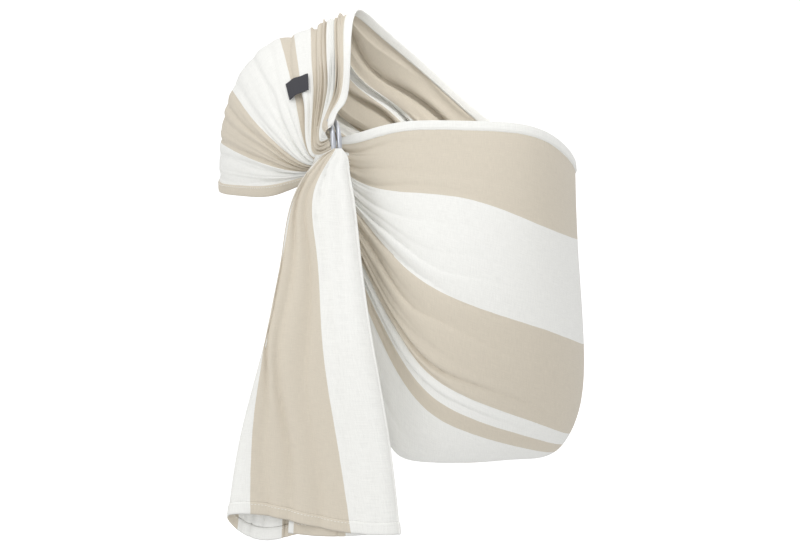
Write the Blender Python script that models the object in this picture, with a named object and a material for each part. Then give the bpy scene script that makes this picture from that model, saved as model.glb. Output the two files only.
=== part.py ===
"""Ring sling for carrying a baby, laid out as it hangs on a wearer: one long striped cotton
cloth pleated over the right shoulder, spread across the back, round the left hip and into a
front pouch, then drawn through two aluminium rings so that its end hangs down as a tail.

Units are metres. X runs to the wearer's left, Y to the wearer's back, Z up. The origin is
the point of the shoulder that the sling hangs from.
"""

import math

import bmesh
import bpy
import numpy as np
from mathutils import Matrix, Vector

# Driving dimensions of the cloth.
CLOTH_WIDTH = 0.691
HEM_WIDTH = 0.013
CLOTH_THICKNESS = 0.004
HEM_THICKNESS = 0.0055
RAIL_SHORT = 5
GAP = 0.0006
NEARBY = 0.001

# Rings: bar radius, radius of the bar's centre line, and distance from bar to bar.
RING_BAR = 0.003
RING_RADIUS = 0.036
RING_PITCH = 0.0075
RING_CENTRE = Vector((0.0185, -0.150, -0.153))
RING_AXIS = Vector((0.966, 0.259, 0.0)).normalized()
RING_OUT = Vector((-RING_AXIS.y, RING_AXIS.x, 0.0))

# Sleeve sewn round both rings.
SLEEVE_CLEARANCE = 0.0012
SLEEVE_WALL = 0.003
SLEEVE_REACH = 0.0475
SLEEVE_ARC = math.radians(48)
FAN_START = 0.0500

# The tail swings about the front bars of the rings.
TAIL_LAYER = 0.008
TAIL_THICKNESS = 0.0035
TAIL_HEM = 0.016

# Fractions of the cloth's width, from the top rail, at which the ribs below are placed.
RIB_FRACTIONS = (0.0, 0.178, 0.381, 0.569, 0.648, 0.82, 1.0)

# Ribs across the cloth in millimetres, in order from the rings over the shoulder, down the
# back, round the hip and through the pouch. Each goes from the top rail to the bottom rail.
RIBS = (
    # Pleats gathered just above the rings.
    ((21, -115, -105), (14, -108, -117), (7, -102, -131), (-4, -102, -145),
     (-11, -101, -157), (-17, -100, -174), (-15, -98, -194)),
    # Lower front of the shoulder fan.
    ((38, -112, -90), (21, -112, -84), (11, -112, -88), (-5, -112, -95),
     (-25, -110, -105), (-55, -100, -140), (-54, -92, -209)),
    # Upper front of the shoulder fan.
    ((42, -70, -28), (22, -74, -30), (12, -75, -34), (-7, -75, -40),
     (-37, -72, -50), (-89, -60, -104), (-97, -55, -210)),
    # Crest of the shoulder.
    ((48, 5, 28), (20, 5, 19), (11, 5, 16), (-10, 5, 5),
     (-52, 4, -7), (-114, 2, -73), (-130, 0, -203)),
    # Behind the shoulder.
    ((80, 55, 13), (40, 78, -40), (32, 80, -48), (5, 86, -81),
     (-27, 86, -94), (-74, 74, -130), (-80, 64, -186)),
    # Shoulder blade.
    ((144, 90, -39), (101, 108, -91), (92, 110, -99), (58, 113, -145),
     (38, 113, -165), (16, 108, -198), (10, 100, -226)),
    # Middle of the back.
    ((223, 108, -107), (179, 120, -174), (164, 122, -196), (126, 123, -248),
     (107, 122, -275), (72, 116, -322), (44, 106, -362)),
    # Left side of the back.
    ((298, 84, -150), (290, 106, -253), (275, 112, -340), (247, 112, -421),
     (233, 110, -451), (205, 103, -497), (178, 94, -524)),
    # Left hip.
    ((331, 0, -168), (334, 0, -266), (341, 0, -399), (323, -6, -510),
     (306, -10, -530), (281, -14, -540), (260, -18, -527)),
    # Right part of the pouch.
    ((273, -125, -125), (275, -160, -243), (278, -172, -369), (269, -152, -486),
     (261, -132, -522), (247, -106, -539), (232, -90, -526)),
    # Middle of the pouch.
    ((183, -150, -117), (178, -196, -209), (173, -222, -330), (176, -210, -445),
     (183, -188, -493), (186, -145, -538), (175, -104, -525)),
    # Left part of the pouch.
    ((110, -152, -121), (104, -188, -202), (109, -208, -292), (118, -206, -402),
     (126, -194, -456), (122, -150, -535), (130, -110, -522)),
    # Pouch drawn in towards the rings.
    ((58, -152, -143), (53, -162, -190), (55, -172, -232), (68, -178, -315),
     (75, -176, -370), (83, -157, -495), (97, -118, -512)),
)

# Where the cloth lies in the rings: offsets across the rings and up, in millimetres.
THREADED = ((22, -8), (18, -14), (11, -19), (3, -22), (-4, -22), (-11, -18), (-16, -12))
THREADED_SIDE = 0.016

# Tail stations in millimetres: height, depth of the front layer, left edge, right edge, and
# the two stripe boundaries on the front layer.
TAIL_STATIONS = (
    (-157, -197, 18, 39, 22, 29),
    (-177, -203, -7, 45, -3, 14),
    (-200, -209, -20, 48, -16, 2),
    (-272, -226, -36, 57, -31, 5),
    (-383, -246, -56, 73, -51, 13),
    (-495, -250, -83, 92, -69, 30),
    (-608, -247, -101, 105, -72, 47),
)
# Cloth fraction at each bend of the tail's section, and its layer counted from the front.
TAIL_FRACTIONS = (0.0, 0.178, 0.30, 0.381, 0.569, 0.612, 0.764, 1.0)
TAIL_LAYERS = (1.0, 1.0, 0.45, 0.0, 0.0, 0.8, 2.0, 2.0)

LABEL_FRACTIONS = (0.575, 0.655)

COLOURS = {
    "beige": ((0.66, 0.60, 0.50), 0.9, 0.0),
    "white": ((0.88, 0.88, 0.85), 0.9, 0.0),
    "aluminium": ((0.55, 0.57, 0.61), 0.35, 1.0),
    "charcoal": ((0.05, 0.05, 0.06), 0.8, 0.0),
}


def clear_scene():
    for obj in list(bpy.data.objects):
        bpy.data.objects.remove(obj, do_unlink=True)


def material(name, finish):
    colour, roughness, metallic = COLOURS[finish]
    made = bpy.data.materials.new(name)
    made.use_nodes = True
    made.diffuse_color = (*colour, 1.0)
    shader = made.node_tree.nodes["Principled BSDF"]
    shader.inputs["Base Color"].default_value = (*colour, 1.0)
    shader.inputs["Roughness"].default_value = roughness
    shader.inputs["Metallic"].default_value = metallic
    return made


def spline(knots, values, at):
    """Natural cubic spline: values at the knots, each row one knot, read at new places."""
    knots = np.asarray(knots, float)
    values = np.asarray(values, float)
    at = np.clip(at, knots[0], knots[-1])
    step = np.diff(knots)
    slope = np.diff(values, axis=0) / step[:, None]
    count = len(knots)
    system = np.eye(count)
    right = np.zeros_like(values)
    for row in range(1, count - 1):
        system[row, row - 1 : row + 2] = (step[row - 1], 2 * (step[row - 1] + step[row]), step[row])
        right[row] = 6 * (slope[row] - slope[row - 1])
    bend = np.linalg.solve(system, right)
    low = np.clip(np.searchsorted(knots, at, side="right") - 1, 0, count - 2)
    before = (knots[low + 1] - at)[:, None]
    after = (at - knots[low])[:, None]
    width = step[low][:, None]
    return (
        bend[low] * before**3 / (6 * width)
        + bend[low + 1] * after**3 / (6 * width)
        + (values[low] / width - bend[low] * width / 6) * before
        + (values[low + 1] / width - bend[low + 1] * width / 6) * after
    )


def chord_lengths(points):
    """Distance along a chain of points, counted from the first."""
    return np.concatenate([[0.0], np.cumsum(np.linalg.norm(np.diff(points, axis=0), axis=1))])


def on_ring_plane(side, out, up):
    """A point given by its distance along the rings' axis, away from the wearer's front, and up."""
    return np.array(RING_CENTRE + RING_AXIS * side + RING_OUT * out + Vector((0, 0, up)))


def all_ribs():
    """The ribs in metres, with the first on the sleeve's rim and the last inside the rings."""
    rim = np.interp(RIB_FRACTIONS, (0.0, 1.0), (SLEEVE_ARC, -SLEEVE_ARC))
    first = [on_ring_plane(0, FAN_START * math.cos(a), FAN_START * math.sin(a)) for a in rim]
    last = [on_ring_plane(THREADED_SIDE, -out / 1000, up / 1000) for out, up in THREADED]
    return np.array([first, *(np.array(rib) / 1000 for rib in RIBS), last])


def rib_at(points, fractions):
    """Points of one rib at fractions of the cloth's width, with a full-width hem on each rail."""
    along = chord_lengths(points)
    hem = HEM_WIDTH / CLOTH_WIDTH
    first = min(HEM_WIDTH, 0.45 * along[1])
    last = along[-1] - min(HEM_WIDTH, 0.45 * (along[-1] - along[-2]))
    knots = (0.0, hem, *RIB_FRACTIONS[1:-1], 1 - hem, 1.0)
    places = (0.0, first, *along[1:-1], last, along[-1])
    return spline(along, points, np.interp(fractions, knots, places))


class Cloth:
    """The loop of cloth as a smooth surface: distance along it, and fraction of its width."""

    def __init__(self):
        self.ribs = all_ribs()
        steps = np.linalg.norm(np.diff(self.ribs, axis=0), axis=2).mean(axis=1)
        self.stations = np.concatenate([[0.0], np.cumsum(steps)])

    def points(self, lengths, fractions):
        across = np.array([rib_at(rib, fractions) for rib in self.ribs])
        flat = across.reshape(len(across), -1)
        return spline(self.stations, flat, lengths).reshape(len(lengths), -1, 3)


class Tail:
    """The hanging end: a strip folded in three layers, widening from the rings to its hem."""

    def __init__(self):
        sections = []
        for height, depth, left, right, inner, outer in TAIL_STATIONS:
            middle = (left + right) / 2
            half = (right - left) / 2
            across = (
                middle - 0.15 * half, middle + 0.35 * half, right, outer, inner, left,
                left + 0.6 * half, middle + 0.45 * half,
            )
            spread = min(1.0, half / 40)
            section = [
                (x, depth + layer * TAIL_LAYER * 1000 * spread, height)
                for x, layer in zip(across, TAIL_LAYERS)
            ]
            sections.append(np.array(section) / 1000)
        self.sections = sections
        self.stations = chord_lengths(np.array([section[3] for section in sections]))

    def points(self, lengths, fractions):
        across = []
        for section in self.sections:
            along = chord_lengths(section)
            across.append(spline(along, section, np.interp(fractions, TAIL_FRACTIONS, along)))
        flat = np.array(across).reshape(len(across), -1)
        return spline(self.stations, flat, lengths).reshape(len(lengths), -1, 3)


def normals(surface, lengths, fractions):
    """Unit normals of a surface, from points a short way to each side along and across it."""
    lengths = np.clip(lengths, NEARBY, surface.stations[-1] - NEARBY)
    fractions = np.clip(fractions, NEARBY, 1 - NEARBY)
    along = surface.points(lengths + NEARBY, fractions) - surface.points(lengths - NEARBY, fractions)
    across = surface.points(lengths, fractions + NEARBY) - surface.points(lengths, fractions - NEARBY)
    normal = np.cross(along, across)
    return normal / np.linalg.norm(normal, axis=2, keepdims=True)


def face_outwards(mesh):
    edit = bmesh.new()
    edit.from_mesh(mesh)
    bmesh.ops.recalc_face_normals(edit, faces=edit.faces)
    edit.to_mesh(mesh)
    edit.free()


def mesh_object(name, vertices, faces, finish):
    mesh = bpy.data.meshes.new(name)
    mesh.from_pydata([tuple(vertex) for vertex in vertices], [], faces)
    mesh.materials.append(material(name, finish))
    mesh.shade_smooth()
    made = bpy.data.objects.new(name, mesh)
    bpy.context.scene.collection.objects.link(made)
    return made


def cloth_piece(name, surface, lengths, fractions, finish, thickness=CLOTH_THICKNESS, lift=0.0):
    """A closed piece of cloth: a grid set off to each side of the surface, joined at its rim."""
    points = surface.points(lengths, fractions)
    outward = normals(surface, lengths, fractions)
    layers = [points + outward * (lift + half) for half in (thickness / 2, -thickness / 2)]
    rows, columns = points.shape[:2]
    index = np.arange(rows * columns).reshape(rows, columns)
    grid = np.stack([index[:-1, :-1], index[1:, :-1], index[1:, 1:], index[:-1, 1:]], axis=-1)
    top = grid.reshape(-1, 4)
    bottom = top[:, ::-1] + rows * columns
    rim = np.concatenate([index[0, :], index[1:, -1], index[-1, -2::-1], index[-2:0:-1, 0]])
    after = np.roll(rim, -1)
    side = np.stack([rim, after, after + rows * columns, rim + rows * columns], axis=1)
    faces = np.concatenate([top, bottom, side]).tolist()
    made = mesh_object(name, np.concatenate(layers).reshape(-1, 3), faces, finish)
    face_outwards(made.data)
    return made


def cloth_fractions(first, last, count):
    """Fractions from first to last, closer together where the ribs' own points lie."""
    inside = [f for f in RIB_FRACTIONS if first + 0.01 < f < last - 0.01]
    even = np.linspace(first, last, count - len(inside))
    return np.unique(np.round(np.concatenate([even, inside]), 4))


def ring(name, side):
    """A welded round bar bent into a ring, turned about its own centre."""
    edit = bmesh.new()
    bmesh.ops.create_circle(edit, segments=8, radius=RING_BAR)
    bmesh.ops.rotate(edit, verts=edit.verts, matrix=Matrix.Rotation(math.pi / 2, 3, "X"))
    bmesh.ops.translate(edit, verts=edit.verts, vec=(RING_RADIUS, 0, 0))
    bmesh.ops.spin(
        edit, geom=edit.verts[:] + edit.edges[:], cent=(0, 0, 0), axis=(0, 0, 1),
        angle=2 * math.pi, steps=40, use_merge=True,
    )
    bmesh.ops.recalc_face_normals(edit, faces=edit.faces)
    mesh = bpy.data.meshes.new(name)
    edit.to_mesh(mesh)
    edit.free()
    mesh.materials.append(material(name, "aluminium"))
    mesh.shade_smooth()
    made = bpy.data.objects.new(name, mesh)
    made.location = RING_CENTRE + RING_AXIS * side
    made.rotation_euler = RING_AXIS.to_track_quat("Z", "Y").to_euler()
    bpy.context.scene.collection.objects.link(made)
    return made


def teardrop(radius, tip, count=7):
    """Section of the sleeve: round on the inner side of the bars, drawn to a flat end outside."""
    half = RING_PITCH / 2
    turns = np.linspace(-math.pi / 2, math.pi / 2, count)
    round_side = [
        (RING_RADIUS - radius * math.cos(a), half * math.sin(a) + radius * math.sin(a))
        for a in turns
    ]
    shoulder = RING_RADIUS + RING_BAR + SLEEVE_CLEARANCE
    return [*round_side, (shoulder, radius + half * 0.9), (tip, radius * 0.4),
            (tip, -radius * 0.4), (shoulder, -radius - half * 0.9)]


def ring_sleeve():
    """The cloth's folded and sewn end, an open-ended sleeve along the back of both rings."""
    inner = RING_BAR + SLEEVE_CLEARANCE
    inside = teardrop(inner, SLEEVE_REACH - 2 * SLEEVE_WALL)
    outside = teardrop(inner + SLEEVE_WALL, SLEEVE_REACH)
    steps = np.linspace(-SLEEVE_ARC, SLEEVE_ARC, 15)
    loops = []
    for turn in steps:
        for section in (outside, inside):
            loops.append([
                on_ring_plane(side, out * math.cos(turn), out * math.sin(turn))
                for out, side in section
            ])
    vertices = np.array(loops).reshape(-1, 3)
    size = len(outside)
    faces = []
    for step in range(len(steps) - 1):
        for wall in (0, 1):
            here = (2 * step + wall) * size
            there = here + 2 * size
            for k in range(size):
                nearby = (k + 1) % size
                faces.append((here + k, here + nearby, there + nearby, there + k)[:: 1 - 2 * wall])
    for start, turn in ((0, -1), (2 * size * (len(steps) - 1), 1)):
        for k in range(size):
            nearby = (k + 1) % size
            quad = (start + k, start + nearby, start + size + nearby, start + size + k)
            faces.append(quad[::turn])
    made = mesh_object("ring_sleeve", vertices, faces, "beige")
    face_outwards(made.data)
    return made


def build_loop():
    """Panels and hems of the loop, split where the cloth passes from one part to the next."""
    cloth = Cloth()
    hem = HEM_WIDTH / CLOTH_WIDTH
    edge = 3 * GAP / CLOTH_WIDTH
    stations = cloth.stations
    parts = (
        ("shoulder", stations[0], stations[5], 17, slice(RAIL_SHORT, None)),
        ("back", stations[5], stations[8], 15, slice(None)),
        ("hip", stations[8], stations[10], 10, slice(None)),
        ("pouch", stations[10], stations[14], 18, slice(None, -RAIL_SHORT)),
    )
    for name, start, end, rows, rail_rows in parts:
        lengths = np.linspace(start + GAP, end - GAP, rows)
        panel = cloth_fractions(hem + edge, 1 - hem - edge, 15)
        cloth_piece(f"{name}_panel", cloth, lengths, panel, "beige")
        lengths = lengths[rail_rows]
        cloth_piece(f"top_rail_{name}", cloth, lengths, np.array((0.0, hem - edge)), "white",
                    HEM_THICKNESS)
        cloth_piece(f"bottom_rail_{name}", cloth, lengths, np.array((1 - hem + edge, 1.0)),
                    "beige", HEM_THICKNESS)
    return cloth


def build_label(cloth):
    """A small woven label sewn flat on the fan, left blank."""
    upper = cloth.stations[3]
    lengths = np.linspace(upper - 0.046, upper - 0.018, 5)
    fractions = np.linspace(*LABEL_FRACTIONS, 5)
    cloth_piece("blank_label", cloth, lengths, fractions, "charcoal", 0.0012, 0.0036)


def build_tail():
    tail = Tail()
    length = tail.stations[-1]
    fractions = np.unique(np.concatenate([np.linspace(0, 1, 17), TAIL_FRACTIONS]))
    lengths = np.linspace(0, length - TAIL_HEM - GAP, 16)
    cloth_piece("tail_panel", tail, lengths, fractions, "beige", TAIL_THICKNESS)
    lengths = np.linspace(length - TAIL_HEM, length, 3)
    cloth_piece("tail_end_hem", tail, lengths, fractions, "beige", TAIL_THICKNESS + 0.001)


def main():
    clear_scene()
    cloth = build_loop()
    build_label(cloth)
    ring_sleeve()
    ring("ring_inner", -RING_PITCH / 2)
    ring("ring_outer", RING_PITCH / 2)
    build_tail()


main()
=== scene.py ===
"""A striped cotton ring sling as it hangs on a wearer, built round its frame.

Units are metres. X runs to the wearer's left, Y to the wearer's back, Z up, and the origin
is the point of the shoulder that the sling hangs from.
"""

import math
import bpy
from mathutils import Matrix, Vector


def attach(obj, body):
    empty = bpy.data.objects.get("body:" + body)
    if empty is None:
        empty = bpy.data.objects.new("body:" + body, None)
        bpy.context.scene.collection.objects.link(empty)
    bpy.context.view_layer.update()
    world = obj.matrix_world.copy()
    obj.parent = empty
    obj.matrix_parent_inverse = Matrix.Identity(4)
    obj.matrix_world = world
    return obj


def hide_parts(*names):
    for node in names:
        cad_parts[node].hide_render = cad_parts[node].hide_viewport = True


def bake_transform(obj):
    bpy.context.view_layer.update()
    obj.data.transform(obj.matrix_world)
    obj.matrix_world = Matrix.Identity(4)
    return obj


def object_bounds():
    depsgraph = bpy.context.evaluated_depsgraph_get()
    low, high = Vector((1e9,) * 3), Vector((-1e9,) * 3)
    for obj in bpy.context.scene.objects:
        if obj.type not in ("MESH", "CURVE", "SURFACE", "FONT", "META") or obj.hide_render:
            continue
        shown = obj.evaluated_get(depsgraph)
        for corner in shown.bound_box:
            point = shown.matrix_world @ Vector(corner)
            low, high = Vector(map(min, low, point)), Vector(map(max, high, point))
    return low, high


bl_info = {
    "name": "Ring Sling",
    "version": (1, 0, 0),
    "blender": (4, 5, 0),
    "location": "View3D > Sidebar > Ring Sling",
    "description": "Builds the cloth, rings, label and stage of a striped ring sling",
    "category": "Object",
}

import bpy
import numpy as np
from mathutils import Vector

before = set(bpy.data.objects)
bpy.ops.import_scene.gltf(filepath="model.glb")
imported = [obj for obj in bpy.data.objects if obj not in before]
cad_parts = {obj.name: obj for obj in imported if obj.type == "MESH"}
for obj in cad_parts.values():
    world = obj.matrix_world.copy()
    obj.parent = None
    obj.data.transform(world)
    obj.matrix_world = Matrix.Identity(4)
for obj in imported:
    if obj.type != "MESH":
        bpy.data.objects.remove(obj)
CAD_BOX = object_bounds()

# Cloth, as it was cut.
CLOTH_WIDTH = 0.691
HEM_WIDTH = 0.013
THREAD_PITCH = 0.0011
# Stripes across the cloth from the top rail: colour and width in metres.
STRIPES = (
    ("white", 0.013), ("beige", 0.110), ("white", 0.140), ("beige", 0.130), ("white", 0.030),
    ("beige", 0.025), ("white", 0.080), ("beige", 0.085), ("white", 0.065), ("beige", 0.013),
)

# Sewing: distance between stitches, their length and their thread's radius.
HEM_SEWING = (0.0042, 0.0030, 0.00032)
TAIL_SEWING = (0.0042, 0.0030, 0.0003)
LABEL_SEWING = (0.0026, 0.0018, 0.00028)
# The rolled hem of the rails and of the tail's end: half their thickness. The rails start and
# stop short of the cloth's ends, and their seam lies at a share of the way in.
RAIL_HALF = 0.0016
RAIL_START, RAIL_STOP = 0.004, 0.020
SEAM_IN = 0.82
END_HALF = 0.0011
END_DEPTH = 0.016

# Rings and the sleeve that holds them: bar and ring radius, distance between the rings, and
# the sleeve's half turn round them, its reach from their middle and half its thickness.
RING_BAR = 0.003
RING_RADIUS = 0.036
RING_PITCH = 0.0075
RING_CENTRE = np.array((0.0185, -0.150, -0.153))
RING_AXIS = np.array((0.966, 0.259, 0.0)) / math.hypot(0.966, 0.259)
RING_OUT = np.array((-RING_AXIS[1], RING_AXIS[0], 0.0))
UP = np.array((0.0, 0.0, 1.0))
SLEEVE_ARC = math.radians(48)
SLEEVE_INSIDE = 0.0275
SLEEVE_REACH = 0.0475
SLEEVE_HALF = 0.0105
# The bundle of cloth inside the rings: half its size towards the wearer, upwards and along.
BUNDLE_OUT = 0.023
BUNDLE_UP = 0.0125
BUNDLE_REACH = 0.020

# Ribs across the cloth in millimetres, from the rings over the shoulder, down the back, round
# the hip and through the pouch. Each goes from the top rail to the bottom rail, and its points
# lie at these fractions of the cloth's width.
RIB_FRACTIONS = (0.0, 0.178, 0.381, 0.569, 0.648, 0.764, 1.0)
RIBS = (
    # Top rail and pleats drawn into the rings.
    ((23, -184, -124), (14, -180, -132), (17, -176, -139), (20, -174, -153),
     (20, -173, -160), (20, -170, -168), (18, -166, -184)),
    # Pleats gathered just above the rings.
    ((29, -172, -106), (9, -158, -122), (4, -146, -139), (-4, -139, -155),
     (-7, -135, -162), (-11, -129, -172), (-16, -110, -195)),
    # Lower front of the shoulder fan.
    ((39, -126, -88), (21, -124, -84), (11, -118, -88), (-5, -116, -95),
     (-25, -110, -105), (-55, -100, -140), (-54, -92, -209)),
    # Upper front of the shoulder fan.
    ((42, -70, -28), (22, -74, -30), (12, -75, -34), (-7, -75, -40),
     (-37, -72, -50), (-89, -60, -104), (-97, -55, -210)),
    # Crest of the shoulder.
    ((48, 5, 28), (20, 5, 19), (11, 5, 16), (-10, 5, 5),
     (-52, 4, -7), (-114, 2, -73), (-130, 0, -203)),
    # Behind the shoulder.
    ((80, 55, 13), (40, 78, -40), (32, 80, -48), (5, 86, -81),
     (-27, 86, -94), (-74, 74, -130), (-80, 64, -186)),
    # Shoulder blade.
    ((144, 90, -39), (101, 108, -91), (92, 110, -99), (63, 113, -136),
     (43, 113, -158), (18, 108, -194), (10, 100, -226)),
    # Middle of the back.
    ((223, 108, -107), (179, 120, -174), (164, 122, -196), (126, 123, -248),
     (107, 122, -275), (72, 116, -322), (44, 106, -362)),
    # Left side of the back.
    ((298, 84, -150), (290, 106, -253), (275, 112, -340), (247, 112, -421),
     (233, 110, -451), (205, 103, -497), (178, 94, -524)),
    # Left hip.
    ((331, 0, -168), (334, 0, -266), (341, 0, -399), (323, -6, -510),
     (306, -10, -530), (281, -14, -540), (260, -18, -527)),
    # Right part of the pouch.
    ((273, -125, -125), (275, -160, -243), (278, -172, -369), (269, -152, -486),
     (261, -132, -522), (247, -106, -539), (232, -90, -526)),
    # Middle of the pouch.
    ((183, -150, -117), (178, -196, -209), (173, -222, -330), (176, -210, -445),
     (183, -188, -493), (186, -145, -538), (175, -104, -525)),
    # Left part of the pouch.
    ((110, -152, -118), (104, -188, -202), (109, -208, -292), (118, -206, -402),
     (126, -194, -456), (122, -150, -535), (130, -110, -522)),
    # Pouch drawn in towards the rings.
    ((58, -152, -130), (53, -162, -190), (55, -172, -232), (68, -178, -315),
     (75, -176, -370), (83, -157, -495), (97, -118, -512)),
    # Pouch gathered just before the rings.
    ((33, -158, -153), (30, -166, -158), (29, -170, -165), (29, -172, -173),
     (30, -172, -179), (31, -170, -186), (33, -162, -194)),
)
# Where the cloth lies in the rings: offsets towards the wearer and up, in millimetres.
THREADED = ((-22, -8), (-18, -14), (-11, -19), (-3, -22), (4, -22), (11, -18), (16, -12))
THREADED_SIDE = 0.016
# Rows of the cloth's grid between one rib and the next.
ROWS_BETWEEN = (8, 32, 34, 34, 24, 18, 16, 16, 16, 20, 22, 26, 30, 26, 8)
COLUMNS = 300

# Creases aren't quite even: how far one strays from its place and how far it wanders along the
# cloth, as shares of the step between two; how far its ends move, in ribs; and the shares by
# which its depth differs from its neighbours' and changes along it.
STRAY = 0.26
WANDER = 0.13
END_SHIFT = 0.25
DEPTH_SPREAD = 0.28
DEPTH_SWING = 0.18
# The cloth beside a rail stays flat over this width, and the folds are full after the second.
FLAT_EDGE = 0.004
FULL_AFTER = 0.010

# Sets of folds that run along the cloth: first and last crease as fractions of the width, how
# many creases, how far the folds lean, how full their ridges are, and the creases' depth in
# millimetres at some ribs. A negative depth presses the creases outwards.
FOLD_SETS = (
    ("neck pleats", 0.055, 0.610, 8, 1.9, 0.42,
     ((0, 1), (1, 4.5), (2, 12), (2.6, 8), (3, 3.2), (4, 3.6), (5, 3.5), (6, 0))),
    ("neck creases", 0.075, 0.590, 15, 1.0, 0.6,
     ((0, 0.6), (1, 2.6), (2, 3.6), (3, 0.5), (4, 0.5), (5, 0))),
    ("outer folds", 0.665, 0.965, 8, 1.5, 0.6,
     ((0, 3), (1, 6), (1.6, 4.4), (2.3, 2.8), (3, 1.8), (4, 1.8), (5, 7), (6, 0))),
    ("outer creases", 0.700, 0.985, 14, 1.2, 0.7,
     ((0, 1), (1, 2), (2, 1.5), (3, 0.7), (4, 0.5), (5, 0))),
    ("sleeve puckers", 0.640, 0.985, 22, 1.0, 0.6,
     ((0, 1), (0.8, 3), (1.4, 1.6), (2.1, 0.5), (3, 0))),
    ("inner back pleats", 0.120, 0.545, 4, 2.4, 0.32,
     ((3.6, 0), (4.6, -8), (6, -10), (7.4, -5), (8.4, -1), (9, 0))),
    ("waist pleats", 0.170, 0.600, 11, 1.4, 0.5,
     ((6.2, 0), (6.9, 14), (7.6, 18), (8.2, 6), (8.8, 0))),
    ("back pleats", 0.620, 0.970, 13, 1.4, 0.5,
     ((4.2, 0), (5, 16), (5.6, 24), (7.6, 22), (8.4, 7), (9.0, 0))),
    ("ring puckers", 0.025, 0.975, 36, 1.0, 0.6,
     ((12.3, 0), (12.8, 0.5), (13.3, 2.4), (14, 5), (15, 4.5))),
    ("pouch folds", 0.050, 0.960, 15, 1.3, 0.6,
     ((10.0, 0), (11.0, 0.6), (12, 1.2), (13, 2.8), (14, 8), (15, 7))),
    ("stripe tuck", 0.535, 0.605, 3, 1.6, 0.45,
     ((9.8, 0), (10.8, 3), (12, 7), (13, 8), (14, 6), (15, 4))),
    ("stripe ledge", 0.330, 0.450, 3, 0.6, 0.5,
     ((10.2, 0), (11.2, 2), (12.2, 5), (13, 7), (14, 5), (15, 4))),
)

# Tail stations in millimetres: height, depth of the front layer, left edge, right edge, and
# the two stripe boundaries on the front layer.
TAIL_STATIONS = (
    (-151, -193, 24, 34, 25, 27),
    (-160, -198, 10, 41, 11, 22),
    (-177, -203, -6, 44, -5, 12),
    (-200, -209, -20, 48, -19, 2),
    (-272, -226, -36, 57, -35, 5),
    (-383, -246, -56, 73, -54, 13),
    (-495, -250, -83, 92, -69, 30),
    (-608, -247, -101, 105, -72, 47),
)
TAIL_LAYER = 0.008
# Sets of folds of the tail, as above, by tail station.
TAIL_FOLD_SETS = (
    ("front folds", 0.440, 0.556, 3, 1.4, 0.8,
     ((0, -1.0), (2, -1.6), (3, -3.0), (4.2, -4.0), (5.5, -5.0), (8, -3.5))),
    ("white folds", 0.318, 0.368, 3, 1.3, 0.8,
     ((0, 0), (1, -1.5), (2, -3), (3, -4), (4, -3.5), (5, -2), (6, -2), (8, -2))),
    ("left layer pleats", 0.660, 0.980, 12, 1.0, 0.6,
     ((0, 0), (1.2, 5), (3, 15), (6, 15), (7, 0))),
    ("right layer pleats", 0.030, 0.240, 9, 1.0, 0.6,
     ((0, 0), (1.2, 3), (3, 7), (6, 7), (7, 0))),
)
# How much longer the tail hangs at some fractions of its width, in metres.
TAIL_DROPS = (
    (0.0, 0.0), (0.178, 0.004), (0.30, 0.001), (0.381, -0.001), (0.569, -0.024),
    (0.605, -0.022), (0.640, -0.006), (0.72, 0.010), (0.80, 0.004), (0.90, -0.006), (1.0, -0.010),
)

# Label: its place below the top of the shoulder fan along the cloth, and across its width.
LABEL_ALONG = (-0.050, -0.023)
LABEL_ACROSS = (0.583, 0.660)
LABEL_THICKNESS = 0.0007

# Studio: middle of the sling and inside of its back, and the lights with their place, target,
# size, spread in degrees and power in watts.
LOOK_AT = (0.104, 0.0, -0.312)
MIDDLE = (0.1, 0.0, -0.3)
INSIDE_BACK = (0.20, 0.13, -0.05)
LIGHTS = (
    ("key", (-1.9, -2.1, 1.4), MIDDLE, 1.6, 180, 18.0),
    ("fill", (0.2, -2.5, -0.6), MIDDLE, 1.0, 180, 12.5),
    ("top", (0.2, -0.7, 2.0), MIDDLE, 1.4, 180, 12.0),
    ("inner", (0.40, -0.50, 0.50), INSIDE_BACK, 0.12, 34, 0.22),
    ("back", (0.6, 2.2, 1.4), MIDDLE, 2.4, 180, 8.0),
)
ROOM_LIGHT = 0.74
# Paper sweep: front, start of its curve, radius of the curve, height and half width.
SWEEP_FRONT = -6.0
SWEEP_CURVE = 2.2
SWEEP_RADIUS = 1.2
SWEEP_HEIGHT = 5.0
SWEEP_HALF = 7.0
PAPER = (0.93, 0.93, 0.93)
PAPER_GLOW = 0.42


def smooth(low, high, value):
    """Rises from 0 at low to 1 at high with flat ends."""
    part = np.clip((value - low) / (high - low), 0.0, 1.0)
    return part * part * (3 - 2 * part)


def spline(knots, values, at):
    """Natural cubic spline: values at the knots, each row one knot, read at new places."""
    knots = np.asarray(knots, float)
    values = np.asarray(values, float)
    at = np.clip(at, knots[0], knots[-1])
    step = np.diff(knots)
    slope = np.diff(values, axis=0) / step[:, None]
    count = len(knots)
    system = np.eye(count)
    right = np.zeros_like(values)
    for row in range(1, count - 1):
        system[row, row - 1 : row + 2] = (step[row - 1], 2 * (step[row - 1] + step[row]), step[row])
        right[row] = 6 * (slope[row] - slope[row - 1])
    bend = np.linalg.solve(system, right)
    low = np.clip(np.searchsorted(knots, at, side="right") - 1, 0, count - 2)
    before = (knots[low + 1] - at)[:, None]
    after = (at - knots[low])[:, None]
    width = step[low][:, None]
    return (
        bend[low] * before**3 / (6 * width)
        + bend[low + 1] * after**3 / (6 * width)
        + (values[low] / width - bend[low] * width / 6) * before
        + (values[low + 1] / width - bend[low + 1] * width / 6) * after
    )


def chord_lengths(points):
    """Distance along a chain of points, counted from the first."""
    return np.concatenate([[0.0], np.cumsum(np.linalg.norm(np.diff(points, axis=0), axis=1))])


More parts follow.
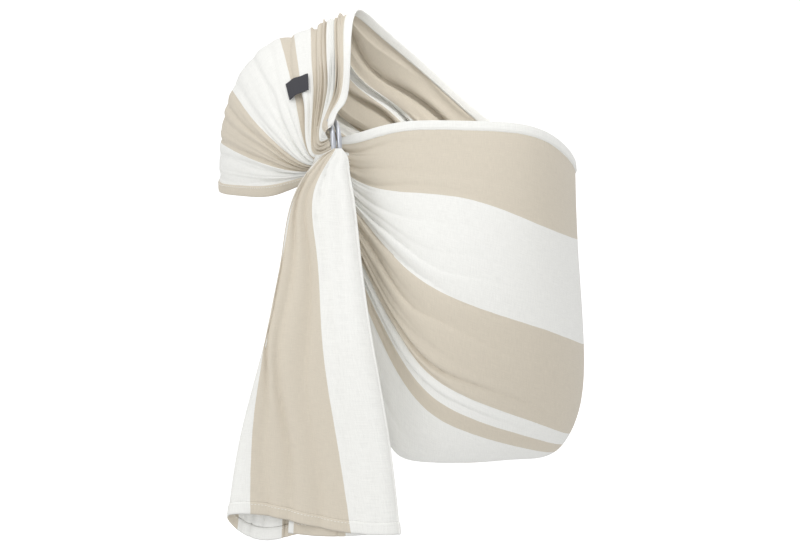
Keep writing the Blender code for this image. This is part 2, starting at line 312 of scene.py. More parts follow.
def across_lengths(points):
    """Distance across each row of a grid of points, counted from its first column."""
    steps = np.linalg.norm(np.diff(points, axis=1), axis=2)
    return np.concatenate([np.zeros((len(points), 1)), np.cumsum(steps, axis=1)], axis=1)


def unit(vectors):
    return vectors / np.maximum(np.linalg.norm(vectors, axis=-1, keepdims=True), 1e-9)


def grid_normals(points):
    """Unit normals of a grid: the cross product of its two directions at each point."""
    return unit(np.cross(np.gradient(points, axis=0), np.gradient(points, axis=1)))


def on_ring_plane(side, out, up):
    """A point from its distance along the rings' axis, towards the wearer, and up."""
    side, out, up = np.broadcast_arrays(side, out, up)
    return (RING_CENTRE + side[..., None] * RING_AXIS + out[..., None] * RING_OUT
            + up[..., None] * UP)


def all_ribs():
    """The ribs in metres, with one more at the end for the cloth inside the rings."""
    out, up = np.array(THREADED).T / 1000
    last = on_ring_plane(THREADED_SIDE, out, up)
    return np.array([*(np.array(rib) / 1000 for rib in RIBS), last])


def rib_at(points, fractions):
    """Points of one rib at fractions of the cloth's width, with a full-width hem on each rail."""
    along = chord_lengths(points)
    hem = HEM_WIDTH / CLOTH_WIDTH
    first = min(HEM_WIDTH, 0.45 * along[1])
    last = along[-1] - min(HEM_WIDTH, 0.45 * (along[-1] - along[-2]))
    knots = (0.0, hem, *RIB_FRACTIONS[1:-1], 1 - hem, 1.0)
    places = (0.0, first, *along[1:-1], last, along[-1])
    return spline(along, points, np.interp(fractions, knots, places))


class Cloth:
    """The loop of cloth as a smooth surface: distance along it, and fraction of its width."""

    def __init__(self):
        self.ribs = all_ribs()
        steps = np.linalg.norm(np.diff(self.ribs, axis=0), axis=2).mean(axis=1)
        self.stations = np.concatenate([[0.0], np.cumsum(steps)])

    def points(self, lengths, fractions):
        across = np.array([rib_at(rib, fractions) for rib in self.ribs])
        flat = across.reshape(len(across), -1)
        return spline(self.stations, flat, lengths).reshape(len(lengths), -1, 3)

    def rib_number(self, lengths):
        return np.interp(lengths, self.stations, np.arange(len(self.stations)))


def pressed(points, fractions, ribs, sets, seed=11):
    """Presses sets of folds into a grid of points, along its normals.

    Every set is a row of creases along the cloth. Between two creases the cloth keeps a rounded
    ridge: at the share u of the way from one to the other, it is pressed in by
    depth * (1 - sin(pi * u ** lean) ** fullness), so only the creases are deep. The depth comes
    from the set's table by rib, and every crease varies it and wanders a little by itself.
    """
    draw = np.random.default_rng(seed)
    across = across_lengths(points)
    widths = np.gradient(across, axis=1)
    column_step = fractions[1] - fractions[0]
    press = np.zeros(points.shape[:2])
    for _, low, high, count, lean, fullness, table in sets:
        jitter = draw.uniform(-1, 1, (5, count + 2))
        step = (high - low) / (count - 1)
        places = low + step * (np.arange(-1, count + 1) + STRAY * jitter[0])
        table_ribs, depths = np.array(table, float).T
        lines = []
        strengths = []
        for place, shift, size, wave, phase in zip(places, *jitter[1:]):
            column = np.clip((place - fractions[0]) / column_step, 0, len(fractions) - 1.001)
            left = int(column)
            line = across[:, left] + (column - left) * (across[:, left + 1] - across[:, left])
            wander = WANDER * widths[:, left] * step / column_step
            lines.append(line + wander * np.sin((2.6 + wave) * ribs + 3 * phase))
            reach = ribs + END_SHIFT * shift
            depth = np.interp(reach, table_ribs, depths, left=0, right=depths[-1])
            swing = DEPTH_SWING * np.sin((2.2 + wave) * ribs + 6 * phase)
            vary = 1 + DEPTH_SPREAD * size + swing
            strengths.append(depth / 1000 * vary)
        strengths[0] = strengths[-1] = np.zeros(len(ribs))
        for first, second, start, end in zip(lines, lines[1:], strengths, strengths[1:]):
            gap = np.maximum(second - first, 1e-4)[:, None]
            share = (across - first[:, None]) / gap
            inside = (share >= 0) & (share < 1)
            share = np.clip(share, 0, 1)
            depth = start[:, None] * (1 - share) + end[:, None] * share
            ridge = np.sin(math.pi * share**lean) ** fullness
            press += np.where(inside, depth * (1 - ridge), 0)
    for edge in (across, across[:, -1:] - across):
        press = press * smooth(0.0, FULL_AFTER, edge - FLAT_EDGE)
    return points - grid_normals(points) * press[..., None]


# Meshes


def smooth_object(name, points, faces):
    """A smooth-shaded mesh object in the scene, at the origin."""
    mesh = bpy.data.meshes.new(name)
    mesh.from_pydata(points.reshape(-1, 3).tolist(), [], faces)
    mesh.shade_smooth()
    made = bpy.data.objects.new(name, mesh)
    bpy.context.scene.collection.objects.link(made)
    return made


def mesh_from_grid(name, points, uv=None, wrap_rows=False, wrap_columns=False, caps=False):
    """An object from a grid of points: quads between neighbours, closed round where asked."""
    rows, columns = points.shape[:2]
    index = np.arange(rows * columns).reshape(rows, columns)
    if wrap_rows:
        index = np.concatenate([index, index[:1]])
    if wrap_columns:
        index = np.concatenate([index, index[:, :1]], axis=1)
    quads = np.stack([index[:-1, :-1], index[1:, :-1], index[1:, 1:], index[:-1, 1:]], axis=-1)
    faces = quads.reshape(-1, 4).tolist()
    if caps:
        faces.append(index[0, :columns].tolist())
        faces.append(index[-1, :columns][::-1].tolist())
    made = smooth_object(name, points, faces)
    if uv is not None:
        mesh = made.data
        layer = mesh.uv_layers.new(name="cloth")
        corners = np.empty(len(mesh.loops), np.int32)
        mesh.loops.foreach_get("vertex_index", corners)
        layer.data.foreach_set("uv", uv.reshape(-1, 2)[corners].astype(np.float32).ravel())
    return made


def finish_piece(piece, body, material, nodes=()):
    """Material, slot and replaced nodes; a piece with no body of its own is left without a parent.
    """
    piece.data.materials.clear()
    piece.data.materials.append(material)
    if body:
        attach(piece, body)
    if nodes:
        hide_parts(*nodes)
    return piece


def cloth_uv(lengths, fractions):
    """Cloth coordinates in metres: distance along the cloth, and distance from the top rail."""
    along, across = np.meshgrid(lengths, fractions * CLOTH_WIDTH, indexing="ij")
    return np.stack([along, across], axis=-1)


def stitches(name, path, normal, sewing):
    """Stitches along a path: each a thread that rises out of the cloth and sinks back in.

    Along a stitch, the thread's height is its radius times 1.2 sin - 0.5 and its thickness is
    the radius times 0.35 + 0.65 sin, where sin runs from 0 over 1 to 0 along the stitch.
    """
    spacing, length, radius = sewing
    along = chord_lengths(path)
    starts = np.arange(spacing / 2, along[-1] - length, spacing)
    sides = 6
    turns = np.linspace(0, 2 * math.pi, sides, endpoint=False)
    parts = np.linspace(0, 1, 5)
    places = starts[:, None] + parts[None, :] * length
    centre = spline(along, path, places.ravel()).reshape(len(starts), len(parts), 3)
    rise = spline(along, normal, places.ravel()).reshape(len(starts), len(parts), 3)
    tangent = unit(np.gradient(centre, axis=1))
    across = unit(np.cross(tangent, rise))
    arch = (np.sin(math.pi * parts) * 1.2 - 0.5)[None, :, None] * radius
    thin = radius * (0.35 + 0.65 * np.sin(math.pi * parts))[None, :, None, None]
    round_part = (np.cos(turns)[None, None, :, None] * across[:, :, None]
                  + np.sin(turns)[None, None, :, None] * unit(rise)[:, :, None])
    points = (centre + unit(rise) * arch)[:, :, None] + round_part * thin
    count = len(starts)
    index = np.arange(count * len(parts) * sides).reshape(count, len(parts), sides)
    after = np.roll(index, -1, axis=2)
    quads = np.stack([index[:, :-1], index[:, 1:], after[:, 1:], after[:, :-1]], axis=-1)
    faces = quads.reshape(-1, 4).tolist()
    faces += index[:, 0].tolist() + index[:, -1, ::-1].tolist()
    return smooth_object(name, points, faces)


# Shader maths


class Value:
    """A shader socket that takes part in ordinary arithmetic; each step adds one Math node."""

    def __init__(self, nodes, socket):
        self.nodes = nodes
        self.socket = socket

    def _math(self, operation, first, second):
        return self.nodes.add("ShaderNodeMath", {"operation": operation}, {0: first, 1: second})

    def __add__(self, other):
        return self._math("ADD", self, other)

    __radd__ = __add__

    def __sub__(self, other):
        return self._math("SUBTRACT", self, other)

    def __rsub__(self, other):
        return self._math("SUBTRACT", other, self)

    def __mul__(self, other):
        return self._math("MULTIPLY", self, other)

    __rmul__ = __mul__

    def __truediv__(self, other):
        return self._math("DIVIDE", self, other)

    def __rtruediv__(self, other):
        return self._math("DIVIDE", other, self)

    def sine(self):
        return self._math("SINE", self, 0.0)


class Nodes:
    """Makes the nodes of one material."""

    def __init__(self, name):
        self.material = bpy.data.materials.new(name)
        self.material.use_nodes = True
        self.tree = self.material.node_tree
        self.shader = self.tree.nodes["Principled BSDF"]

    def add(self, kind, settings=None, inputs=None, output=0):
        """One node: its settings first, then the values or links of its sockets."""
        node = self.tree.nodes.new(kind)
        for key, value in (settings or {}).items():
            if key == "stops":
                self._stops(node.color_ramp, value)
            else:
                setattr(node, key, value)
        for key, value in (inputs or {}).items():
            self.put(node.inputs[key], value)
        return Value(self, node.outputs[output])

    def put(self, socket, value):
        if isinstance(value, Value):
            self.tree.links.new(value.socket, socket)
        else:
            socket.default_value = value

    def _stops(self, ramp, stops):
        while len(ramp.elements) < len(stops):
            ramp.elements.new(1.0)
        for element, (place, colour) in zip(ramp.elements, stops):
            element.position = place
            element.color = colour

    def mix(self, factor, first, second, blend="MIX"):
        return self.add(
            "ShaderNodeMix", {"data_type": "RGBA", "blend_type": blend},
            {"Factor": factor, 6: first, 7: second}, output=2,
        )

    def on_cloth(self):
        """The cloth coordinates, and their two parts: along the cloth and across it."""
        place = self.add("ShaderNodeUVMap", {"uv_map": "cloth"})
        outputs = self.add("ShaderNodeSeparateXYZ", {}, {0: place}).socket.node.outputs
        return place, Value(self, outputs["X"]), Value(self, outputs["Y"])

    def noise(self, vector, scale, detail=2.0, stretch=(1.0, 1.0, 1.0)):
        placed = self.add("ShaderNodeMapping", {}, {"Vector": vector, "Scale": stretch})
        return self.add(
            "ShaderNodeTexNoise", {}, {"Vector": placed, "Scale": scale, "Detail": detail}
        )

    def bump(self, height, strength, distance):
        inputs = {"Height": height, "Strength": strength, "Distance": distance}
        return self.add("ShaderNodeBump", {}, inputs)


def rgba(colour, factor=1.0):
    return (*(channel * factor for channel in colour), 1.0)


def stripe_stops(white, beige):
    """Ramp stops across the cloth's width, one for each stripe."""
    colours = {"white": rgba(white), "beige": rgba(beige)}
    place = 0.0
    stops = []
    for colour, width in STRIPES:
        stops.append((place / CLOTH_WIDTH, colours[colour]))
        place += width
    return stops


def cotton(name, white, beige, relief, only=None):
    """Plain-woven cotton: striped or plain, with crossing threads, slubs and a soft fuzz."""
    nodes = Nodes(name)
    place, along, across = nodes.on_cloth()
    drift = nodes.noise(place, 60.0, 2.0)
    if only is None:
        shifted = (across + (drift - 0.5) * 0.0012) / CLOTH_WIDTH
        base = nodes.add(
            "ShaderNodeValToRGB", {"stops": stripe_stops(white, beige)}, {0: shifted}
        )
        base.socket.node.color_ramp.interpolation = "CONSTANT"
    else:
        base = nodes.mix(0.0, rgba(only), rgba(only))
    thread = 2 * math.pi / THREAD_PITCH
    weave = (across * thread).sine() * (along * thread).sine()
    slub_along = nodes.noise(place, 1000.0, 2.0, (0.08, 1.0, 1.0))
    slub_across = nodes.noise(place, 1000.0, 2.0, (1.0, 0.08, 1.0))
    slubs = slub_along + slub_across
    grain = nodes.noise(place, 1500.0, 1.0)
    tone = (slubs - 1.0) * 0.14 + (grain - 0.5) * 0.12 + weave * 0.02
    light = nodes.add("ShaderNodeVectorMath", {"operation": "SCALE"},
                      {0: base, "Scale": tone + 1.0})
    shade = nodes.noise(place, 14.0, 3.0)
    colour = nodes.mix((shade - 0.35) * 0.25, light, rgba((0.93, 0.92, 0.89)), "MULTIPLY")
    nodes.put(nodes.shader.inputs["Base Color"], colour)
    nodes.put(nodes.shader.inputs["Normal"], nodes.bump(weave * 0.5 + slubs, relief, 0.0004))
    nodes.put(nodes.shader.inputs["Roughness"], 0.86 + (grain - 0.5) * 0.12)
    nodes.shader.inputs["Sheen Weight"].default_value = 0.18
    nodes.shader.inputs["Sheen Roughness"].default_value = 0.5
    nodes.shader.inputs["Specular IOR Level"].default_value = 0.25
    return nodes.material


def aluminium(name, colour, roughness):
    """Satin aluminium bar: fine scratches, and small dull patches where the cloth rubs it."""
    nodes = Nodes(name)
    place = nodes.add("ShaderNodeTexCoord", {}, {}, output=3)
    scratch = nodes.noise(place, 1800.0, 3.0, (1.0, 0.12, 0.12))
    patch = nodes.noise(place, 160.0, 3.0)
    tone = nodes.mix(patch, rgba(colour), rgba(colour, 0.86))
    nodes.put(nodes.shader.inputs["Base Color"], tone)
    nodes.shader.inputs["Metallic"].default_value = 1.0
    nodes.put(nodes.shader.inputs["Roughness"], (patch - 0.5) * 0.2 + scratch * 0.1 + roughness)
    nodes.put(nodes.shader.inputs["Normal"], nodes.bump(scratch, 0.25, 0.0001))
    return nodes.material


def woven_tape(name, colour):
    """Dense satin-woven tape with fine ribs."""
    nodes = Nodes(name)
    place, along, _ = nodes.on_cloth()
    rib_pitch = 0.0006
    rib = (along * (2 * math.pi / rib_pitch)).sine()
    speckle = nodes.noise(place, 1600.0, 2.0)
    tone = nodes.mix(speckle, rgba(colour, 0.7), rgba(colour, 1.6))
    nodes.put(nodes.shader.inputs["Base Color"], tone)
    nodes.put(nodes.shader.inputs["Roughness"], 0.62 + speckle * 0.15)
    nodes.put(nodes.shader.inputs["Normal"], nodes.bump(rib + speckle, 0.35, 0.0002))
    nodes.shader.inputs["Sheen Weight"].default_value = 0.25
    return nodes.material


def stage_paper(name, colour):
    """Plain matt paper that glows a little, so that the floor stays as pale as the backdrop."""
    nodes = Nodes(name)
    nodes.shader.inputs["Base Color"].default_value = rgba(colour)
    nodes.shader.inputs["Roughness"].default_value = 0.9
    nodes.shader.inputs["Specular IOR Level"].default_value = 0.1
    nodes.shader.inputs["Emission Color"].default_value = rgba(colour)
    nodes.shader.inputs["Emission Strength"].default_value = PAPER_GLOW
    return nodes.material


def cotton_finish(only=None):
    """The striped cotton, or the same cotton in one of its two colours; each is made once."""
    settings = bpy.context.scene.sling_cloth
    white, beige = tuple(settings.white), tuple(settings.beige)
    colours = {"white": white, "beige": beige}
    name = f"cotton_{only or 'striped'}"
    found = bpy.data.materials.get(name)
    return found or cotton(name, white, beige, settings.relief, colours.get(only))


# Pieces


def row_lengths(cloth):
    """Places along the cloth of its grid's rows: evenly spaced between one rib and the next."""
    parts = [
        np.linspace(start, end, count, endpoint=False)
        for start, end, count in zip(cloth.stations, cloth.stations[1:], ROWS_BETWEEN)
    ]
    return np.concatenate([*parts, cloth.stations[-1:]])


def loop_cloth():
    """The creased cloth of the whole loop, from the sleeve's rim round to the rings.

    A smooth spline surface runs through the ribs, and the sets of folds are pressed into it.
    """
    cloth = Cloth()
    lengths = row_lengths(cloth)
    edge = 0.4 * HEM_WIDTH / CLOTH_WIDTH
    fractions = np.linspace(edge, 1 - edge, COLUMNS)
    base = cloth.points(lengths, fractions)
    points = pressed(base, fractions, cloth.rib_number(lengths), FOLD_SETS)
    piece = mesh_from_grid("sling_cloth", points, cloth_uv(lengths, fractions))
    panels = ("shoulder_panel", "back_panel", "hip_panel", "pouch_panel")
    finish_piece(piece, "sling", cotton_finish(), panels)
    return piece


def rail_hem(name, outer, inner, colour, nodes):
    """A rolled hem along one rail: a flat round-edged tube that follows the cloth.

    Round the tube, the fraction of the width goes as a cosine between the rail's outer and
    inner edges, and the height over the cloth as a sine to the power 0.55, which keeps it flat.
    The seam shows on both faces.
    """
    cloth = Cloth()
    lengths = row_lengths(cloth)
    lengths = lengths[(lengths > RAIL_START) & (lengths < cloth.stations[-1] - RAIL_STOP)]
    turns = np.linspace(0, 2 * math.pi, 20, endpoint=False)
    low, high = sorted((outer, inner))
    fractions = low + (high - low) * (0.5 - 0.5 * np.cos(turns))
    unique, slots = np.unique(fractions, return_inverse=True)
    base = cloth.points(lengths, unique)
    normal = grid_normals(base)
    height = np.sign(np.sin(turns)) * np.abs(np.sin(turns)) ** 0.55 * RAIL_HALF
    points = base[:, slots] + normal[:, slots] * height[None, :, None]
    uv = cloth_uv(lengths, fractions)
    piece = mesh_from_grid(name, points, uv, wrap_columns=True, caps=True)
    finish_piece(piece, "sling", cotton_finish(colour), nodes)
    seam = outer + SEAM_IN * (inner - outer)
    line = cloth.points(lengths, np.array([seam - 0.001, seam, seam + 0.001]))
    rise = grid_normals(line)[:, 1]
    for side, label in ((1.0, "outer"), (-1.0, "inner")):
        path = line[:, 1] + rise * side * (RAIL_HALF - 0.0001)
        row = stitches(f"{name}_stitches_{label}", path, rise * side, HEM_SEWING)
        finish_piece(row, "sling", cotton_finish("white"))
    return piece


def ring(name, side, node):
    """A round bar bent into a ring: centre radius + bar radius * (cos, sin) at every turn.

    At one turn the bar swells by a twentieth, where its ends are welded.
    """
    turn = np.linspace(0, 2 * math.pi, 160, endpoint=False)[:, None]
    bar = np.linspace(0, 2 * math.pi, 28, endpoint=False)[None, :]
    weld = 1 + 0.05 * np.exp(-((turn - 4.3) / 0.03) ** 2)
    radius = RING_RADIUS + RING_BAR * weld * np.cos(bar)
    points = on_ring_plane(side + RING_BAR * weld * np.sin(bar),
                           radius * np.cos(turn), radius * np.sin(turn))
    piece = mesh_from_grid(name, points, wrap_rows=True, wrap_columns=True)
    return finish_piece(piece, node, bpy.data.materials["ring_aluminium"],
                        (f"ring_{'inner' if side < 0 else 'outer'}",))


def ring_sleeve():
    """The folded end of the cloth round the back of both rings, with its pleats.

    Its section goes from inside the rings to outside them as a cosine, with a flattened sine
    as its thickness, and it thins towards its outer end. The section is swept round the rings'
    axis, and the height of the pleats is the size of a sine of the turn.
    """
    turns = np.linspace(SLEEVE_ARC, -SLEEVE_ARC, 170)[:, None]
    around = np.linspace(0, 2 * math.pi, 64, endpoint=False)[None, :]
    reach = (SLEEVE_REACH + SLEEVE_INSIDE) / 2
    half = (SLEEVE_REACH - SLEEVE_INSIDE) / 2
    out = reach - half * np.cos(around)
    thick = SLEEVE_HALF * np.abs(np.sin(around)) ** 0.8 * np.sign(np.sin(around))
    taper = 1 - 0.62 * smooth(0.0375, SLEEVE_REACH, out)
    pleat = 0.0011 * np.abs(np.sin(turns * 17 + 1.3 * np.sin(turns * 5))) ** 0.6
    side = thick * taper + pleat * np.sign(np.sin(around)) * np.abs(np.sin(around)) ** 0.5
    points = on_ring_plane(side, out * np.cos(turns), out * np.sin(turns))
    fraction = np.linspace(0.02, 0.98, len(turns))[:, None]
    along = np.linspace(0, 0.06, around.shape[1])[None, :]
    uv = np.stack(np.broadcast_arrays(along, fraction * CLOTH_WIDTH), axis=-1)
    piece = mesh_from_grid("gathered_sleeve", points, uv, wrap_columns=True, caps=True)
    return finish_piece(piece, "sling", cotton_finish(), ("ring_sleeve",))


def threaded_cloth():
    """The gathered cloth where it passes through both rings: a bundle with lengthwise pleats.

    Its section is an ellipse whose radius drops by up to 0.16 with the size of a sine of nine
    turns, and its middle drops and moves out as it goes through.
    """
    along = np.linspace(0, 1, 60)[:, None]
    around = np.linspace(0, 2 * math.pi, 120, endpoint=False)[None, :]
    side = BUNDLE_REACH * (1 - 2 * along)
    centre_out = -0.004 - 0.010 * along**2
    centre_up = -0.014 - 0.004 * along
    pleat = 1 - 0.16 * np.abs(np.sin(around * 9 + 0.6 * np.sin(3 * along))) ** 0.7
    out = centre_out + BUNDLE_OUT * pleat * np.cos(around)
    up = centre_up + BUNDLE_UP * pleat * np.sin(around)
    points = on_ring_plane(side, out, up)
    uv = np.stack(np.broadcast_arrays(along * 0.05, around / (2 * math.pi) * CLOTH_WIDTH), -1)
    piece = mesh_from_grid("threaded_cloth", points, uv, wrap_columns=True, caps=True)
    return finish_piece(piece, "sling", cotton_finish())


def label_patch():
    """A blank woven label laid over the pleats and sewn down along its short ends.

    It stands off the cloth by a parabola across its length plus a small sine wave.
    """
    cloth = Cloth()
    upper = cloth.stations[3]
    lengths = np.linspace(upper + LABEL_ALONG[0], upper + LABEL_ALONG[1], 40)
    fractions = np.linspace(*LABEL_ACROSS, 60)
    base = cloth.points(lengths, fractions)
    normal = grid_normals(base)
    across = np.linspace(-1, 1, 60)[None, :]
    lift = 0.0011 + 0.0012 * (1 - across**2) + 0.0007 * np.sin(across * 5.0)
    top = base + normal * lift[..., None]
    under = base + normal * (lift - LABEL_THICKNESS)[..., None]
    points = np.concatenate([top, under[:, ::-1]], axis=1)
    face_uv = cloth_uv(lengths, fractions)
    uv = np.concatenate([face_uv, face_uv[:, ::-1]], axis=1)
    piece = mesh_from_grid("blank_woven_label", points, uv, wrap_columns=True, caps=True)
    material = bpy.data.materials["label_tape"]
    finish_piece(piece, "sling", material, ("blank_label",))
    for column, label in ((3, "left"), (56, "right")):
        row = stitches(f"label_stitches_{label}", top[:, column], normal[:, column],
                       LABEL_SEWING)
        finish_piece(row, "sling", material)
    return piece


class Tail:
    """The hanging end: a strip folded in three layers, widening from the rings to its hem.

    Each station is a chain of points across the folded strip, worked out from its edges and
    stripe boundaries, and a smooth spline surface runs through all of them. The two tuples are
    each point's fraction of the width, and how many layers it lies behind the front one.
    """

    fractions = (0.0, 0.10, 0.178, 0.27, 0.30, 0.33, 0.381, 0.475, 0.569, 0.600, 0.615, 0.632,
                 0.70, 0.80, 0.90, 1.0)
    layers = (1.1, 1.1, 1.1, 0.95, 0.5, 0.06, 0.0, 0.0, 0.0, 0.1, 0.9, 1.8, 2.0, 2.1, 2.1, 2.1)

    def __init__(self):
        sections = []
        for height, depth, left, right, inner, outer in TAIL_STATIONS:
            middle, half = (left + right) / 2, (right - left) / 2
            turn = min(4.0, 0.2 * half)
            across = (
                middle - 0.30 * half, middle, middle + 0.35 * half, right - turn, right,
                right - turn, outer, (outer + inner) / 2, inner, left + 0.8 * turn, left,
                left + turn, left + 0.35 * half, left + 0.75 * half, middle + 0.25 * half,
                middle + 0.62 * half,
            )
            spread = min(1.0, half / 40)
            sections.append(np.array([
                (x, depth + layer * TAIL_LAYER * 1000 * spread, height)
                for x, layer in zip(across, self.layers)
            ]) / 1000)
        self.sections = sections
        front_middle = self.fractions.index(0.475)
        self.stations = chord_lengths(np.array([section[front_middle] for section in sections]))

    def points(self, lengths, fractions):
        across = []
        for section in self.sections:
            along = chord_lengths(section)
            across.append(spline(along, section, np.interp(fractions, self.fractions, along)))
        flat = np.array(across).reshape(len(across), -1)
        return spline(self.stations, flat, lengths).reshape(len(lengths), -1, 3)


def tail_grid(shares, fractions):
    """Points of the tail at shares of its length and fractions of its width.

    The folded strip is pressed into its folds. Each point is then lowered by the drop of its
    fraction, which grows smoothly from nothing at 0.35 of the length to all of it at the end.
    """
    tail = Tail()
    lengths = shares * tail.stations[-1]
    base = tail.points(lengths, fractions)
    numbers = np.interp(lengths, tail.stations, np.arange(len(tail.stations)))
    points = pressed(base, fractions, numbers, TAIL_FOLD_SETS)
    places, drops = np.array(TAIL_DROPS).T
    drop = spline(places, drops[:, None], fractions)[:, 0]
    points[..., 2] -= drop * smooth(0.35, 1.0, shares)[:, None]
    return points, lengths


def hanging_tail():
    """The tail's folded cloth with its end hem, a strip round both faces of the last 16 mm.

    The hem stands off each face by the root of 1 - u to the power 4, where u goes from -1 to 1
    down the hem, so it is flat with round edges.
    """
    fractions = np.linspace(0.0, 1.0, 300)
    shares = np.concatenate([np.linspace(0, 0.25, 90, endpoint=False), np.linspace(0.25, 1, 190)])
    points, lengths = tail_grid(shares, fractions)
    piece = mesh_from_grid("tail_cloth", points[:, ::-1], cloth_uv(lengths, fractions)[:, ::-1])
    finish_piece(piece, None, cotton_finish(), ("tail_panel",))
    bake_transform(piece)
    shares = np.linspace(1 - END_DEPTH / lengths[-1], 1.0, 10)
    base, hem_lengths = tail_grid(shares, fractions)
    normal = grid_normals(base)
    profile = np.sqrt(np.clip(1 - np.abs(np.linspace(-1, 1, 10)) ** 4, 0, 1))[:, None, None]
    outside = base + normal * END_HALF * profile
    inside = base - normal * END_HALF * profile
    points = np.concatenate([inside, outside[-2:0:-1]], axis=0)
    along = np.concatenate([hem_lengths, hem_lengths[-2:0:-1]])
    hem = mesh_from_grid("tail_end_roll", points, cloth_uv(along, fractions), wrap_rows=True)
    finish_piece(hem, "tail", cotton_finish(), ("tail_end_hem",))
    seam, rise = base[2], normal[2]
    for side, label in ((1.0, "front"), (-1.0, "back")):
        path = seam + rise * side * (END_HALF - 0.0001)
        row = stitches(f"tail_stitches_{label}", path, rise * side, TAIL_SEWING)
        finish_piece(row, "tail", cotton_finish("white"))
    return piece


def paper_sweep(level):
    """Floor and backdrop in one: flat, then a quarter circle, then upright."""
    turn = np.linspace(0, math.pi / 2, 24)
    back = SWEEP_CURVE + SWEEP_RADIUS * np.sin(turn)
    rise = level + SWEEP_RADIUS * (1 - np.cos(turn))
    depth = np.concatenate([[SWEEP_FRONT], back, [SWEEP_CURVE + SWEEP_RADIUS]])
    height = np.concatenate([[level], rise, [level + SWEEP_HEIGHT]])
    across = np.array([-SWEEP_HALF, SWEEP_HALF])
    points = np.stack(
        np.broadcast_arrays(across[None, :], depth[:, None], height[:, None]), axis=-1)
    sweep = mesh_from_grid("stage_sweep", points)
    sweep.data.materials.append(stage_paper("stage_paper", PAPER))
    sweep.visible_diffuse = False


def area_light(name, place, target, size, spread, power):
    light = bpy.data.lights.new(name, "AREA")
    light.size = size
    light.spread = math.radians(spread)
    light.energy = power
    lamp = bpy.data.objects.new(name, light)
    lamp.location = place
    aim = Vector(target) - Vector(place)
    lamp.rotation_euler = aim.to_track_quat("-Z", "Y").to_euler()
    bpy.context.scene.collection.objects.link(lamp)


# Settings, operators and panel


class ClothSettings(bpy.types.PropertyGroup):
    white: bpy.props.FloatVectorProperty(
        name="White stripe", description="Colour of the undyed stripes",
        subtype="COLOR", size=3, min=0, max=1, default=(0.86, 0.86, 0.83))
    beige: bpy.props.FloatVectorProperty(
        name="Beige stripe", description="Colour of the dyed stripes",
        subtype="COLOR", size=3, min=0, max=1, default=(0.66, 0.60, 0.50))
    relief: bpy.props.FloatProperty(
        name="Weave relief", description="How strongly the threads stand out",
        subtype="FACTOR", min=0, max=1, default=0.35)


class FittingSettings(bpy.types.PropertyGroup):
    metal: bpy.props.FloatVectorProperty(
        name="Ring metal", description="Colour of the rings",
        subtype="COLOR", size=3, min=0, max=1, default=(0.55, 0.57, 0.61))
    roughness: bpy.props.FloatProperty(
        name="Ring roughness", description="How dull the rings are",
        subtype="FACTOR", min=0, max=1, default=0.32)
    label: bpy.props.FloatVectorProperty(
        name="Label", description="Colour of the blank label",
        subtype="COLOR", size=3, min=0, max=1, default=(0.045, 0.045, 0.052))


class StageSettings(bpy.types.PropertyGroup):
    floor_drop: bpy.props.FloatProperty(
        name="Floor drop", description="Distance from the lowest hem to the floor",
        subtype="DISTANCE", unit="LENGTH", default=0.25)
    distance: bpy.props.FloatProperty(
        name="Camera distance", description="Distance from the camera to the sling",
        subtype="DISTANCE", unit="LENGTH", default=2.6)
    elevation: bpy.props.FloatProperty(
        name="Camera elevation", description="Angle of the camera above the horizon",
        subtype="ANGLE", unit="ROTATION", default=math.radians(3))
    frame_width: bpy.props.FloatProperty(
        name="Frame width", description="Width of the picture at the sling",
        subtype="DISTANCE", unit="LENGTH", default=1.04)


class SLING_OT_stage(bpy.types.Operator):
    """Camera, soft lights, pale floor and backdrop"""

    bl_idname = "sling.stage"
    bl_label = "Stage"

    def execute(self, context):
        settings = context.scene.sling_stage
        scene = context.scene
        scene.view_settings.view_transform = "Standard"
        lens = bpy.data.cameras.new("camera")
        lens.sensor_width = 36.0
        lens.lens = lens.sensor_width * settings.distance / settings.frame_width
        camera = bpy.data.objects.new("camera", lens)
        away = Vector((0, -math.cos(settings.elevation), math.sin(settings.elevation)))
        camera.location = Vector(LOOK_AT) + away * settings.distance
        camera.rotation_euler = (math.pi / 2 - settings.elevation, 0, 0)
        scene.collection.objects.link(camera)
        scene.camera = camera
        paper_sweep(CAD_BOX[0][2] - settings.floor_drop)
        for light in LIGHTS:
            area_light(*light)
        world = bpy.data.worlds.new("studio")
        world.use_nodes = True
        background = world.node_tree.nodes["Background"]
        background.inputs["Color"].default_value = (1, 1, 1, 1)
        background.inputs["Strength"].default_value = ROOM_LIGHT
        scene.world = world
        return {"FINISHED"}


class SLING_OT_finishes(bpy.types.Operator):
    """Materials of the rings and the label"""

    bl_idname = "sling.finishes"
    bl_label = "Finishes"

    def execute(self, context):
        settings = context.scene.sling_fittings
        aluminium("ring_aluminium", tuple(settings.metal), settings.roughness)
        woven_tape("label_tape", tuple(settings.label))
        return {"FINISHED"}


class SLING_OT_rings(bpy.types.Operator):
    """The two aluminium rings and the sleeve that holds them"""

    bl_idname = "sling.rings"
    bl_label = "Rings"

    def execute(self, context):
        ring("sling_ring_inner", -RING_PITCH / 2, "inner_ring")
        ring("sling_ring_outer", RING_PITCH / 2, "outer_ring")
        ring_sleeve()
        threaded_cloth()
        return {"FINISHED"}


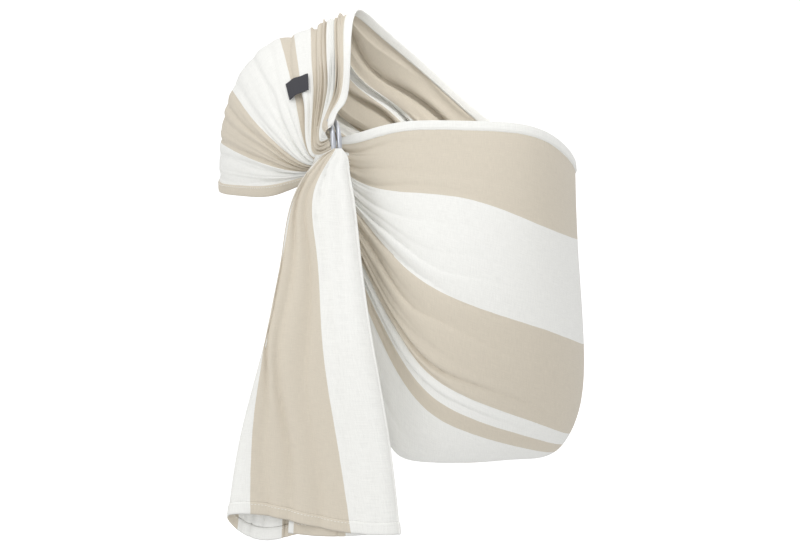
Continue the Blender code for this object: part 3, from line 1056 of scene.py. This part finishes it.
class SLING_OT_cloth(bpy.types.Operator):
    """The pleated loop of cloth with its two rolled rails"""

    bl_idname = "sling.cloth"
    bl_label = "Cloth"

    def execute(self, context):
        loop_cloth()
        hem = HEM_WIDTH / CLOTH_WIDTH
        parts = ("shoulder", "back", "hip", "pouch")
        rail_hem("top_rail_roll", 0.0, hem, "white",
                 [f"top_rail_{part}" for part in parts])
        rail_hem("bottom_rail_roll", 1.0, 1 - hem, "beige",
                 [f"bottom_rail_{part}" for part in parts])
        return {"FINISHED"}


class SLING_OT_label(bpy.types.Operator):
    """The blank woven label on the shoulder pleats"""

    bl_idname = "sling.label"
    bl_label = "Label"

    def execute(self, context):
        label_patch()
        return {"FINISHED"}


class SLING_OT_tail(bpy.types.Operator):
    """The folded tail that hangs from the rings"""

    bl_idname = "sling.tail"
    bl_label = "Tail"

    def execute(self, context):
        hanging_tail()
        return {"FINISHED"}


class SLING_PT_sidebar(bpy.types.Panel):
    bl_label = "Ring Sling"
    bl_idname = "SLING_PT_sidebar"
    bl_space_type = "VIEW_3D"
    bl_region_type = "UI"
    bl_category = "Ring Sling"

    def draw(self, context):
        for group in GROUPS:
            settings = getattr(context.scene, group)
            for name in GROUPS[group].__annotations__:
                self.layout.prop(settings, name)
        for operator in OPERATORS:
            self.layout.operator(operator.bl_idname)


OPERATORS = (SLING_OT_stage, SLING_OT_finishes, SLING_OT_rings, SLING_OT_cloth,
             SLING_OT_label, SLING_OT_tail)
GROUPS = {"sling_cloth": ClothSettings, "sling_fittings": FittingSettings,
          "sling_stage": StageSettings}


def register():
    for name, group in GROUPS.items():
        bpy.utils.register_class(group)
        setattr(bpy.types.Scene, name, bpy.props.PointerProperty(type=group))
    for operator in (*OPERATORS, SLING_PT_sidebar):
        bpy.utils.register_class(operator)


def unregister():
    for operator in reversed((*OPERATORS, SLING_PT_sidebar)):
        bpy.utils.unregister_class(operator)
    for name, group in reversed(GROUPS.items()):
        delattr(bpy.types.Scene, name)
        bpy.utils.unregister_class(group)


def main():
    register()
    bpy.ops.sling.stage()
    bpy.ops.sling.finishes()
    bpy.ops.sling.rings()
    bpy.ops.sling.cloth()
    bpy.ops.sling.label()
    bpy.ops.sling.tail()


if __name__ == "__main__":
    main()
